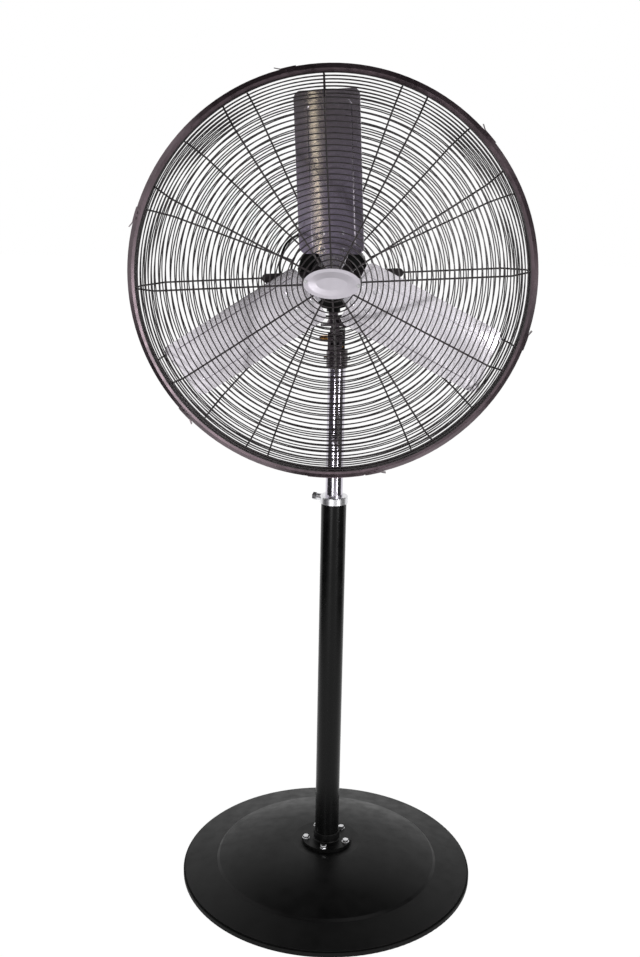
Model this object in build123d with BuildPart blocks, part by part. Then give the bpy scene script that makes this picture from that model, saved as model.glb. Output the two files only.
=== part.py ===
from build123d import *
import os
from math import cos, degrees, radians, sin, sqrt, tan

# Industrial pedestal fan, in millimetres.
# The origin is on the floor under the column, +Z is up and the fan blows towards -Y.

# Shared clearances
running_clearance = 0.06
ball_clearance = 0.06
body_gap = 0.3
weld_sink = 0.05

# Base: a pressed cover over a cast ballast plate, with a rubber ring round its edge
base_radius = 342
trim_lip = 4
trim_width = 11
cover_step_inset = 80
ballast_inset = 42
cover_wall = 2.5
cover_skirt_radius = base_radius - trim_lip
cover_skirt_top = 14
cover_step_radius = base_radius - cover_step_inset
cover_step_height = 30
cover_step_rise = 5
cover_step_run = 6
cover_top_radius = 80
base_height = 72
cover_dome_bulge = 7
cover_centre_hole = 20
trim_height = 11
trim_seat_height = 5
trim_inner_radius = base_radius - trim_width
ballast_radius = base_radius - ballast_inset
ballast_thickness = 10
ballast_pedestal_radius = 62
ballast_fillet = 8

# Foot flange that holds the column on the base
flange_radius = 59
flange_thickness = 8
flange_fillet = 3
foot_collar_radius = 31
foot_collar_height = 21
flange_seat_depth = 4
flange_bolt_circle = 50
flange_bolt_count = 5
flange_bolt_turn = 46
flange_bolt_radius = 4
flange_bolt_length = 32
flange_bolt_flats = 13
flange_bolt_head = 5.5
flange_washer_radius = 8.5
flange_washer_thickness = 1.6
bolt_hole_clearance = 0.5
thread_clearance = 0.05
bolt_edge = 1

# Column tubes
column_radius = 28
column_wall = 2
column_top = 918
mast_radius = 19
mast_wall = 1.5
mast_bottom = 540
mast_top = 1256
mast_mark_height = 958
mast_mark_width = 1.6
mast_mark_depth = 0.3
guide_height = 20
guide_spigot = 25
bushing_length = 50

# Clamp collar on top of the column, with its radial screw
collar_radius = 30.8
collar_height = 16
collar_spigot = 22
collar_edge = 1.5
clamp_turn = 155
clamp_boss_radius = 7.5
clamp_boss_reach = 40
clamp_screw_radius = 4
clamp_head_gap = 2
clamp_head_length = 9
clamp_head_flats = 15

# Swivel sleeve on top of the mast
sleeve_bottom = 1219.5
sleeve_radius = 22.8
sleeve_top = 1259
sleeve_edge = 2
swivel_screw_height = 1240
swivel_screw_radius = 3
swivel_screw_reach = 28.5
swivel_screw_head_radius = 4.5
swivel_screw_head = 3

# Tilt clevis, its tongue on the head, and the cross bolt
tilt_height = 1282
clevis_left = -20.5
clevis_cheek = 6
tongue_width = 18.4
clevis_base_top = 1266
clevis_cheek_radius = 13.5
clevis_half_depth = 14
tongue_radius = 12.5
tilt_bolt_radius = 4
tilt_bolt_flats = 13
tilt_bolt_head = 6
tilt_bolt_overhang = 18
wing_nut_hub_radius = 6.4
wing_nut_length = 15
wing_reach = 15
wing_thickness = 4
wing_length = 12
wing_corner = 4
bracket_plate_bottom = 1311
bracket_plate_thickness = 4
bracket_plate_left = -36
bracket_plate_right = 23
bracket_plate_front = -20
bracket_plate_back = 15
bracket_stem_depth = 9
bracket_gusset_height = 14
neck_x = -9.5
neck_radius = 10.5
neck_flare_radius = 14
neck_flare_height = 9
neck_socket = 8

# Speed switch box behind the clevis
box_half_width = 16.5
box_front = 31
box_back = 65
box_bottom = 1253
box_top = 1296
box_wall = 2
box_edge = 2.5
box_cover_thickness = 3
box_screw_radius = 1.5
box_screw_length = 9
box_screw_head_radius = 2.8
box_screw_head = 1.6
box_boss_radius = 2.9
switch_width = 22
switch_depth = 13
switch_bush_radius = 4.5
switch_shaft_radius = 3
capacitor_width = 26
capacitor_depth = 11
capacitor_height = 30
capacitor_edge = 2
knob_radius = 10.5
knob_length = 13
knob_gap = 0.5
knob_flutes = 12
knob_flute_radius = 1.2
knob_pointer_width = 1.6
knob_pointer_length = 8
knob_pointer_height = 0.8
gland_radius = 7
gland_bore = 3.6
gland_thread_radius = 5
gland_nose_radius = 6
gland_taper = 8
gland_length = 13
gland_grip = 6
earth_screw_head_radius = 3.6
earth_screw_head = 2.4
earth_screw_height = 1263.5
earth_screw_y = 6

# Head: its axis lies a little to the left of the column
head_x = -12.7
head_height = 1424

# Motor, as distances forward of the column
motor_radius = 71.5
shell_wall = 5
shell_front = 58
shell_back = -52
shell_ribs = 24
shell_rib_height = 1.2
shell_rib_width = 3
bell_nose_radius = 48
bell_wall = 4
motor_front = 79.7
motor_back = -72
bell_step = 4
bell_screw_circle = 69
bell_screw_radius = 1.5
bell_screw_head_radius = 2.8
bell_screw_head = 2
bell_screw_length = 14
bell_screw_count = 4
bell_screw_turn = 45
boss_radius = 14.5
boss_drop = 84
core_front = 32
core_back = -28
stator_slots = 24
stator_bore = 38
air_gap = 0.5
slot_depth = 15
slot_width = 5
winding_inner = 42
winding_outer = 60
winding_length = 14
winding_round = 5
shaft_radius = 8
shaft_front = 156
shaft_back = -64
shaft_edge = 1
bearing_outer_radius = 17.5
race_wall = 3
bearing_land_radius = 13
bearing_width = 11
ball_radius = 2.6
ball_count = 10
front_bearing = 63
rear_bearing = -50
bearing_boss_radius = 22

# Motor lead, clipped to the motor from its upper gland down to the foot
lead_radius = 2.5
lead_gland_radius = 5
lead_gland_length = 9
lead_exit_angle = 128
lead_exit_forward = 40
lead_bend_share = 0.45
lead_turn_radius = 104
lead_foot_drop = 78
lead_foot_reach = 52
# Places of the lead's bends: across, up and forward of the head's axis
lead_points = [(-97, 62, 38), (-113, 14, 32), (-103, -34, 6), (-78, -66, -28), (-38, -82, -56)]

# Guards: wire rings on radial ribs, sized from the rim hoop round them
hoop_radius = 405
guard_turn = 3.5
rib_radius = 1.75
ring_radius = 1.25
ring_flats = 12
rim_forward = 150
guard_depth = 76
rear_depth = 72
face_edge_inset = 62
face_edge_radius = hoop_radius - face_edge_inset
last_ring_inset = 2
last_face_ring = face_edge_radius - last_ring_inset
front_pitch = 10.55
front_inner_ring = 33
front_face_rings = 1 + int((last_face_ring - front_inner_ring) / front_pitch)
front_side_rings = 7
front_ribs = 12
front_rib_start = 14
rear_pitch = 9.3
rear_side_rings = 7
rear_ribs = 16
rear_inner_radius = 85
rear_inner_gap = 15
rear_face_rings = 1 + int((last_face_ring - rear_inner_radius - rear_inner_gap) / rear_pitch)
rear_inner_wire = 2.2
side_first_step = 4
side_top_offset = 22
rib_bend = 5
end_ring_wire = 3
end_ring_inset = 14
end_ring_radius = hoop_radius - end_ring_inset
end_ring_offset = 11.4
rib_tail = 3

# Rim hoop: a rolled channel with bevelled lips that grips both end rings
hoop_wall = 1.5
hoop_flat = 8
hoop_bevel = 9
hoop_bevel_radius = hoop_radius - hoop_bevel
hoop_half_width = 16
hoop_lip_inset = 16.3
hoop_lip_radius = hoop_radius - hoop_lip_inset
joint_strap_start = 264
joint_strap_end = 280.4
joint_strap_half_width = 7.5
joint_strap_thickness = 1.2
clip_count = 6
clip_turn = 43
clip_length = 30
clip_thickness = 1.5
clip_tail_length = 13
clip_tail_angle = 24
clip_tail_half_width = 6
rim_screw_radius = 1.6
rim_screw_head_radius = 2.6
rim_screw_head = 1.1
rim_screw_spacing = 11

# Badge on the front centre
centre_disc_radius = 30
centre_disc_thickness = 2
badge_width = 110
badge_height = 58
badge_thickness = 1.6
badge_crown = 1.4
badge_flat_width = 92
badge_flat_height = 46
badge_crown_width = 60
badge_crown_height = 24
badge_stud_circle = 50.9
badge_stud_turn = -3.5
badge_stud_radius = 1.8
badge_stud_head_radius = 3.6
badge_stud_head = 1.8
badge_foot_length = 13
badge_foot_width = 6
badge_foot_thickness = 1.6

# Strap that carries the rear guard on the motor
strap_length = 288
strap_width = 18
strap_thickness = 3
strap_disc_radius = 44
strap_hole_radius = 20
strap_screw_circle = 33
strap_screw_count = 4
strap_screw_turn = 48.5
strap_screw_radius = 2.5
strap_screw_length = 12
strap_screw_head_radius = 4.6
strap_screw_head = 2.8

# Rotor: three pitched paddle blades riveted to a spider
blade_count = 3
first_blade_angle = 93
blade_pitch = 27
blade_forward = 152
blade_root = 49
blade_tip_inset = 47
blade_tip = hoop_radius - blade_tip_inset
blade_chord = 143
blade_corner = 15
blade_thickness = 2
blade_camber_radius = 430
bead_inset = 20
bead_width = 8
bead_height = 1.8
bead_start = 66
bead_corner = 10
spider_arm_width = 62
spider_arm_tip = 104
spider_arm_start = 2
spider_shoulder = 44
spider_neck_half_width = 17
spider_thickness = 3.5
hub_radius = 20
hub_back = 122
hub_front = 158
rivet_radius = 2.5
rivet_head_radius = 5
rivet_head = 2
rivet_lift = 0.04
rivet_half_spacing = 21.5
rivet_rows = (57, 90)
hub_screw_radius = 3
hub_screw_forward = 128
hub_screw_angle = 33


def head_point(across, up, forward):
    """World point from a place on the head: across and up from its axis, forward of the column."""
    return (head_x + across, -forward, head_height + up)


# Local x is across, local y is up and local z is forward
head_plane = Plane(origin=head_point(0, 0, 0), x_dir=(1, 0, 0), z_dir=(0, -1, 0))
# Local x is the distance from the head's axis and local y is forward
head_profile = Plane(origin=head_point(0, 0, 0), x_dir=(1, 0, 0), z_dir=(0, 0, -1))
head_axis = Axis(head_point(0, 0, 0), (0, -1, 0))
column_profile = Plane.XZ
tilt_plane = Plane(origin=(0, 0, tilt_height), x_dir=(0, 1, 0), z_dir=(1, 0, 0))


def save(part, name):
    """Label a finished piece and write its STEP file."""
    part.label = name
    export_step(part, f"parts/{name}.step")


def on_circle(radius, angle):
    return (radius * cos(radians(angle)), radius * sin(radians(angle)))


def hexagon_radius(flats):
    return flats / sqrt(3)


def turn_of(count):
    return 360 / count


os.makedirs("parts", exist_ok=True)

# Base ballast
with BuildPart() as base_ballast:
    with BuildSketch():
        Circle(ballast_radius)
    extrude(amount=ballast_thickness)
    with BuildSketch(Plane.XY.offset(ballast_thickness)):
        Circle(ballast_pedestal_radius)
    extrude(amount=base_height - cover_wall - ballast_thickness)
    fillet(base_ballast.edges().filter_by(GeomType.CIRCLE).group_by(Axis.Z)[1].sort_by(SortBy.RADIUS)[0],
           ballast_fillet)
    with BuildSketch(Plane.XY.offset(base_height - cover_wall)):
        with PolarLocations(flange_bolt_circle, flange_bolt_count, start_angle=flange_bolt_turn):
            Circle(flange_bolt_radius + thread_clearance)
    extrude(amount=-flange_bolt_length, mode=Mode.SUBTRACT)
save(base_ballast.part, "base_ballast")

# Base cover: the outer line and the same line one wall further in
step_top_radius = cover_step_radius - cover_step_run
step_top_height = cover_step_height + cover_step_rise
dome_middle = ((step_top_radius + cover_top_radius) / 2, (step_top_height + base_height) / 2 + cover_dome_bulge)
with BuildPart() as base_cover:
    with BuildSketch(column_profile):
        with BuildLine():
            outer_skirt = Polyline((cover_skirt_radius, trim_seat_height),
                                   (cover_skirt_radius, cover_skirt_top),
                                   (cover_step_radius, cover_step_height),
                                   (step_top_radius, step_top_height))
            outer_dome = ThreePointArc(outer_skirt @ 1, dome_middle, (cover_top_radius, base_height))
            top = Polyline(outer_dome @ 1, (cover_centre_hole, base_height),
                           (cover_centre_hole, base_height - cover_wall),
                           (cover_top_radius, base_height - cover_wall))
            inner_dome = ThreePointArc(top @ 1, (dome_middle[0], dome_middle[1] - cover_wall),
                                       (step_top_radius - cover_wall, step_top_height - cover_wall))
            Polyline(inner_dome @ 1,
                     (cover_step_radius - cover_wall, cover_step_height - cover_wall),
                     (cover_skirt_radius - cover_wall, cover_skirt_top - cover_wall),
                     (cover_skirt_radius - cover_wall, trim_seat_height),
                     outer_skirt @ 0)
        make_face()
    revolve(axis=Axis.Z)
    with BuildSketch(Plane.XY.offset(base_height)):
        with PolarLocations(flange_bolt_circle, flange_bolt_count, start_angle=flange_bolt_turn):
            Circle(flange_bolt_radius + bolt_hole_clearance)
    extrude(amount=-cover_wall, mode=Mode.SUBTRACT)
save(base_cover.part, "base_cover")

# Rubber ring: a U that the cover's skirt stands in
with BuildPart() as base_edge_trim:
    with BuildSketch(column_profile):
        with Locations(((base_radius + trim_inner_radius) / 2, trim_height / 2)):
            trim_shape = Rectangle(base_radius - trim_inner_radius, trim_height)
        fillet(trim_shape.vertices(), cover_wall / 2)
        with Locations((cover_skirt_radius - cover_wall / 2, (trim_seat_height + trim_height) / 2)):
            Rectangle(cover_wall, trim_height - trim_seat_height, mode=Mode.SUBTRACT)
    revolve(axis=Axis.Z)
save(base_edge_trim.part, "base_edge_trim")

# Foot flange
flange_top = base_height + flange_thickness
with BuildPart() as column_flange:
    with BuildSketch(Plane.XY.offset(base_height)):
        Circle(flange_radius)
    extrude(amount=flange_thickness)
    with BuildSketch(Plane.XY.offset(flange_top)):
        Circle(foot_collar_radius)
    extrude(amount=foot_collar_height)
    inner_corner = column_flange.edges().filter_by(GeomType.CIRCLE).group_by(Axis.Z)[1].sort_by(SortBy.RADIUS)[0]
    fillet(inner_corner, flange_fillet)
    fillet(column_flange.edges().group_by(Axis.Z)[-1], flange_fillet / 2)
    with BuildSketch(Plane.XY.offset(base_height + flange_seat_depth)):
        Circle(column_radius)
    extrude(amount=flange_thickness + foot_collar_height, mode=Mode.SUBTRACT)
    with BuildSketch(Plane.XY.offset(base_height)):
        Circle(cover_centre_hole)
        with PolarLocations(flange_bolt_circle, flange_bolt_count, start_angle=flange_bolt_turn):
            Circle(flange_bolt_radius + bolt_hole_clearance)
    extrude(amount=flange_thickness, mode=Mode.SUBTRACT)
save(column_flange.part, "column_flange")

with BuildPart() as flange_washers:
    with BuildSketch(Plane.XY.offset(flange_top)):
        with PolarLocations(flange_bolt_circle, flange_bolt_count, start_angle=flange_bolt_turn):
            Circle(flange_washer_radius)
            Circle(flange_bolt_radius + thread_clearance, mode=Mode.SUBTRACT)
    extrude(amount=flange_washer_thickness)
save(flange_washers.part, "flange_washers")

bolt_seat = flange_top + flange_washer_thickness
bolt_tip = base_height - flange_bolt_length
with BuildPart() as flange_bolts:
    with BuildSketch(Plane.XY.offset(bolt_seat)):
        with PolarLocations(flange_bolt_circle, flange_bolt_count, start_angle=flange_bolt_turn):
            RegularPolygon(hexagon_radius(flange_bolt_flats), 6)
    extrude(amount=flange_bolt_head)
    chamfer(flange_bolts.edges().group_by(Axis.Z)[-1], bolt_edge)
    with BuildSketch(Plane.XY.offset(bolt_seat)):
        with PolarLocations(flange_bolt_circle, flange_bolt_count, start_angle=flange_bolt_turn):
            Circle(flange_bolt_radius)
    extrude(amount=bolt_tip - bolt_seat)
save(flange_bolts.part, "flange_bolts")

# Column tube and the plain bushing that guides the mast in it
column_bottom = base_height + flange_seat_depth
with BuildPart() as column_tube:
    with BuildSketch(Plane.XY.offset(column_bottom)):
        Circle(column_radius)
        Circle(column_radius - column_wall, mode=Mode.SUBTRACT)
    extrude(amount=column_top - column_bottom)
save(column_tube.part, "column_tube")

mast_bore = mast_radius + running_clearance
column_bore = column_radius - column_wall
bushing_top = column_top - collar_spigot
with BuildPart() as column_bushing:
    with BuildSketch(Plane.XY.offset(bushing_top - bushing_length)):
        Circle(column_bore)
        Circle(mast_bore, mode=Mode.SUBTRACT)
    extrude(amount=bushing_length)
save(column_bushing.part, "column_bushing")

# Clamp collar
clamp_height = column_top + collar_height / 2
clamp_plane = Plane(origin=(0, 0, clamp_height), x_dir=(0, 0, 1), z_dir=(*on_circle(1, clamp_turn), 0))
with BuildPart() as clamp_collar:
    with BuildSketch(Plane.XY.offset(bushing_top)):
        Circle(column_bore)
    extrude(amount=collar_spigot)
    with BuildSketch(Plane.XY.offset(column_top)):
        Circle(collar_radius)
    extrude(amount=collar_height)
    chamfer(clamp_collar.edges().group_by(Axis.Z)[-1], collar_edge)
    with BuildSketch(clamp_plane):
        Circle(clamp_boss_radius)
    extrude(amount=clamp_boss_reach)
    with BuildSketch(Plane.XY.offset(bushing_top)):
        Circle(mast_bore)
    extrude(amount=collar_spigot + collar_height, mode=Mode.SUBTRACT)
    with BuildSketch(clamp_plane):
        Circle(clamp_screw_radius + running_clearance)
    extrude(amount=clamp_boss_reach, mode=Mode.SUBTRACT)
save(clamp_collar.part, "clamp_collar")

clamp_head_start = clamp_boss_reach + clamp_head_gap
with BuildPart() as clamp_screw:
    with BuildSketch(clamp_plane.offset(mast_radius + body_gap)):
        Circle(clamp_screw_radius)
    extrude(amount=clamp_head_start - mast_radius - body_gap)
    with BuildSketch(clamp_plane.offset(clamp_head_start)):
        RegularPolygon(hexagon_radius(clamp_head_flats), 6)
    extrude(amount=clamp_head_length)
    outer_face = clamp_screw.faces().sort_by(Axis(clamp_plane.origin, clamp_plane.z_dir))[-1]
    chamfer(outer_face.edges(), bolt_edge)
save(clamp_screw.part, "clamp_screw")

# Mast
with BuildPart() as mast_tube:
    with BuildSketch(Plane.XY.offset(mast_bottom)):
        Circle(mast_radius)
        Circle(mast_radius - mast_wall, mode=Mode.SUBTRACT)
    extrude(amount=mast_top - mast_bottom)
    with BuildSketch(Plane.XY.offset(mast_mark_height)):
        Circle(mast_radius)
        Circle(mast_radius - mast_mark_depth, mode=Mode.SUBTRACT)
    extrude(amount=mast_mark_width, mode=Mode.SUBTRACT)
save(mast_tube.part, "mast_tube")

with BuildPart() as mast_end_guide:
    with BuildSketch(Plane.XY.offset(mast_bottom - guide_height)):
        Circle(column_bore - running_clearance)
    extrude(amount=guide_height)
    with BuildSketch(Plane.XY.offset(mast_bottom)):
        Circle(mast_radius - mast_wall)
    extrude(amount=guide_spigot)
    chamfer(mast_end_guide.edges().group_by(Axis.Z)[0], collar_edge)
save(mast_end_guide.part, "mast_end_guide")

# Swivel sleeve and its two set screws
swivel_screw_plane = Plane(origin=(0, 0, swivel_screw_height), x_dir=(0, 1, 0), z_dir=(1, 0, 0))
with BuildPart() as swivel_sleeve:
    with BuildSketch(Plane.XY.offset(sleeve_bottom)):
        Circle(sleeve_radius)
    extrude(amount=sleeve_top - sleeve_bottom)
    chamfer(swivel_sleeve.edges().group_by(Axis.Z)[-1], sleeve_edge)
    fillet(swivel_sleeve.edges().group_by(Axis.Z)[0], sleeve_edge)
    with BuildSketch(Plane.XY.offset(sleeve_bottom)):
        Circle(mast_bore)
    extrude(amount=mast_top + body_gap - sleeve_bottom, mode=Mode.SUBTRACT)
    with BuildSketch(swivel_screw_plane):
        Circle(swivel_screw_radius + thread_clearance)
    extrude(amount=sleeve_radius, both=True, mode=Mode.SUBTRACT)
save(swivel_sleeve.part, "swivel_sleeve")

with BuildPart() as swivel_set_screws:
    with BuildSketch(swivel_screw_plane.offset(mast_radius + body_gap)):
        Circle(swivel_screw_radius)
    extrude(amount=swivel_screw_reach - swivel_screw_head - mast_radius - body_gap)
    with BuildSketch(swivel_screw_plane.offset(swivel_screw_reach - swivel_screw_head)):
        Circle(swivel_screw_head_radius)
    extrude(amount=swivel_screw_head)
    mirror(about=Plane.YZ)
save(swivel_set_screws.part, "swivel_set_screws")

# Tilt clevis: a base block with two cheeks and a shelf that carries the switch box
tongue_left = clevis_left + clevis_cheek + body_gap
cheek_right_start = tongue_left + tongue_width + body_gap
clevis_right = cheek_right_start + clevis_cheek
cheek_starts = (clevis_left, cheek_right_start)
with BuildPart() as tilt_clevis:
    with BuildSketch(Plane.XY.offset(sleeve_top)):
        with Locations(((clevis_left + clevis_right) / 2, 0)):
            Rectangle(clevis_right - clevis_left, 2 * clevis_half_depth)
        with Locations(((clevis_left + clevis_right) / 2, box_front / 2)):
            Rectangle(clevis_right - clevis_left, box_front)
    extrude(amount=clevis_base_top - sleeve_top)
    for start in cheek_starts:
        with BuildSketch(tilt_plane.offset(start)):
            Circle(clevis_cheek_radius)
            with Locations((0, -(tilt_height - clevis_base_top) / 2)):
                Rectangle(2 * clevis_cheek_radius, tilt_height - clevis_base_top)
        extrude(amount=clevis_cheek)
    with BuildSketch(tilt_plane.offset(clevis_left)):
        Circle(tilt_bolt_radius + running_clearance)
    extrude(amount=clevis_right - clevis_left, mode=Mode.SUBTRACT)
save(tilt_clevis.part, "tilt_clevis")

with BuildPart() as tilt_bolt:
    with BuildSketch(tilt_plane.offset(clevis_right)):
        RegularPolygon(hexagon_radius(tilt_bolt_flats), 6)
    extrude(amount=tilt_bolt_head)
    chamfer(tilt_bolt.faces().sort_by(Axis.X)[-1].edges(), bolt_edge)
    with BuildSketch(tilt_plane.offset(clevis_left - tilt_bolt_overhang)):
        Circle(tilt_bolt_radius)
    extrude(amount=clevis_right - clevis_left + tilt_bolt_overhang)
save(tilt_bolt.part, "tilt_bolt")

# Brass wing nut on the bolt's free end
wing_nut_face = clevis_left - body_gap
with BuildPart() as tilt_wing_nut:
    with BuildSketch(tilt_plane.offset(wing_nut_face)):
        Circle(wing_nut_hub_radius)
    extrude(amount=-wing_nut_length)
    with BuildSketch(Plane.XY.offset(tilt_height)):
        with Locations((wing_nut_face - wing_nut_length + wing_length / 2, 0)):
            RectangleRounded(wing_length, 2 * wing_reach, wing_corner)
    extrude(amount=wing_thickness / 2, both=True)
    with BuildSketch(tilt_plane.offset(wing_nut_face)):
        Circle(tilt_bolt_radius + running_clearance)
    extrude(amount=-wing_nut_length, mode=Mode.SUBTRACT)
save(tilt_wing_nut.part, "tilt_wing_nut")

# Switch box, open at the back, on the clevis's shelf
box_centre_y = (box_front + box_back) / 2
box_height = box_top - box_bottom
box_centre_z = (box_top + box_bottom) / 2
box_plane = Plane(origin=(0, box_front, box_centre_z), x_dir=(1, 0, 0), z_dir=(0, 1, 0))
box_corner_x = box_half_width - box_wall - box_boss_radius / 2
box_corner_z = box_height / 2 - box_wall - box_boss_radius / 2
box_corners = [(side * box_corner_x, level * box_corner_z) for side in (-1, 1) for level in (-1, 1)]
box_depth = box_back - box_cover_thickness - box_front
with BuildPart() as switch_box:
    with BuildSketch(box_plane):
        RectangleRounded(2 * box_half_width, box_height, box_edge)
    extrude(amount=box_depth)
    with BuildSketch(box_plane.offset(box_wall)):
        Rectangle(2 * (box_half_width - box_wall), box_height - 2 * box_wall)
        with Locations(*box_corners):
            Circle(box_boss_radius, mode=Mode.SUBTRACT)
    extrude(amount=box_depth, mode=Mode.SUBTRACT)
    with BuildSketch(box_plane.offset(box_depth)):
        with Locations(*box_corners):
            Circle(box_screw_radius + thread_clearance)
    extrude(amount=-box_screw_length, mode=Mode.SUBTRACT)
    with BuildSketch(Plane.XY.offset(box_bottom)):
        with Locations((0, box_centre_y)):
            Circle(gland_thread_radius + thread_clearance)
    extrude(amount=box_wall, mode=Mode.SUBTRACT)
save(switch_box.part, "switch_box")

with BuildPart() as switch_box_cover:
    with BuildSketch(box_plane.offset(box_depth)):
        RectangleRounded(2 * box_half_width, box_height, box_edge)
        Circle(switch_bush_radius, mode=Mode.SUBTRACT)
        with Locations(*box_corners):
            Circle(box_screw_radius + thread_clearance, mode=Mode.SUBTRACT)
    extrude(amount=box_cover_thickness)
save(switch_box_cover.part, "switch_box_cover")

with BuildPart() as box_screws:
    with BuildSketch(box_plane.offset(box_depth + box_cover_thickness)):
        with Locations(*box_corners):
            Circle(box_screw_head_radius)
    extrude(amount=box_screw_head)
    with BuildSketch(box_plane.offset(box_depth + box_cover_thickness)):
        with Locations(*box_corners):
            Circle(box_screw_radius)
    extrude(amount=-box_screw_length)
save(box_screws.part, "box_screws")

with BuildPart() as rotary_switch:
    with BuildSketch(box_plane.offset(box_depth)):
        Rectangle(switch_width, switch_width)
    extrude(amount=-switch_depth)
    with BuildSketch(box_plane.offset(box_depth)):
        Circle(switch_bush_radius)
    extrude(amount=box_cover_thickness)
    with BuildSketch(box_plane.offset(box_depth)):
        Circle(switch_shaft_radius + running_clearance)
    extrude(amount=box_cover_thickness, mode=Mode.SUBTRACT)
save(rotary_switch.part, "rotary_switch")

with BuildPart() as capacitor:
    with BuildSketch(box_plane.offset(box_wall)):
        Rectangle(capacitor_width, capacitor_height)
    extrude(amount=capacitor_depth)
    fillet(capacitor.edges().filter_by(Axis.Y), capacitor_edge)
save(capacitor.part, "capacitor")

# Knob with its own spindle: it turns in the switch's bush
with BuildPart() as speed_knob:
    with BuildSketch(box_plane.offset(box_depth + box_cover_thickness + knob_gap)):
        Circle(knob_radius)
        with PolarLocations(knob_radius, knob_flutes):
            Circle(knob_flute_radius, mode=Mode.SUBTRACT)
    extrude(amount=knob_length)
    chamfer(speed_knob.faces().sort_by(Axis.Y)[-1].edges(), knob_pointer_height)
    with BuildSketch(box_plane.offset(box_depth + box_cover_thickness + knob_gap + knob_length)):
        with Locations((0, -knob_pointer_length / 2)):
            Rectangle(knob_pointer_width, knob_pointer_length)
    extrude(amount=knob_pointer_height)
    with BuildSketch(box_plane.offset(box_depth + box_cover_thickness + knob_gap)):
        Circle(switch_shaft_radius)
    extrude(amount=-(box_cover_thickness + knob_gap - body_gap))
save(speed_knob.part, "speed_knob")

with BuildPart() as cable_gland:
    with BuildSketch(Plane.XY.offset(box_bottom)):
        with Locations((0, box_centre_y)):
            RegularPolygon(gland_radius, 6)
    extrude(amount=-gland_grip)
    with BuildSketch(Plane.XY.offset(box_bottom - gland_grip)):
        with Locations((0, box_centre_y)):
            Circle(gland_nose_radius)
    extrude(amount=-(gland_length - gland_grip), taper=gland_taper)
    with BuildSketch(Plane.XY.offset(box_bottom)):
        with Locations((0, box_centre_y)):
            Circle(gland_thread_radius)
    extrude(amount=box_wall)
    with BuildSketch(Plane.XY.offset(box_bottom + box_wall)):
        with Locations((0, box_centre_y)):
            Circle(gland_bore)
    extrude(amount=-(gland_length + box_wall), mode=Mode.SUBTRACT)
save(cable_gland.part, "cable_gland")

# Brass earth screw on the clevis's right side
earth_plane = Plane(origin=(clevis_right, earth_screw_y, earth_screw_height), x_dir=(0, 1, 0), z_dir=(1, 0, 0))
with BuildPart() as earth_screw:
    with BuildSketch(earth_plane):
        Circle(earth_screw_head_radius)
    extrude(amount=earth_screw_head)
save(earth_screw.part, "earth_screw")

# Tilt bracket: tongue, stem, top plate with its gusset, and the neck into the motor's foot
plate_top = bracket_plate_bottom + bracket_plate_thickness
neck_top = head_height - boss_drop + neck_socket
with BuildPart() as tilt_bracket:
    with BuildSketch(tilt_plane.offset(tongue_left)):
        Circle(tongue_radius)
        with Locations((0, (bracket_plate_bottom - tilt_height) / 2)):
            Rectangle(2 * bracket_stem_depth, bracket_plate_bottom - tilt_height)
    extrude(amount=tongue_width)
    with BuildSketch(Plane.XY.offset(bracket_plate_bottom)):
        with Locations(((bracket_plate_left + bracket_plate_right) / 2, (bracket_plate_front + bracket_plate_back) / 2)):
            RectangleRounded(bracket_plate_right - bracket_plate_left, bracket_plate_back - bracket_plate_front,
                             bracket_plate_thickness)
    extrude(amount=bracket_plate_thickness)
    with BuildSketch(Plane.XZ):
        with BuildLine():
            Polyline((neck_x, plate_top), (bracket_plate_right - bracket_plate_thickness, plate_top),
                     (neck_x + neck_radius, plate_top + bracket_gusset_height),
                     (neck_x, plate_top + bracket_gusset_height), close=True)
        make_face()
    extrude(amount=bracket_plate_thickness / 2, both=True)
    with BuildSketch(Plane.XZ):
        with BuildLine():
            Polyline((neck_x, plate_top), (neck_x + neck_flare_radius, plate_top),
                     (neck_x + neck_radius, plate_top + neck_flare_height),
                     (neck_x + neck_radius, neck_top), (neck_x, neck_top), close=True)
        make_face()
    revolve(axis=Axis((neck_x, 0, 0), (0, 0, 1)))
    with BuildSketch(tilt_plane.offset(tongue_left)):
        Circle(tilt_bolt_radius + running_clearance)
    extrude(amount=tongue_width, mode=Mode.SUBTRACT)
save(tilt_bracket.part, "tilt_bracket")

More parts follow.
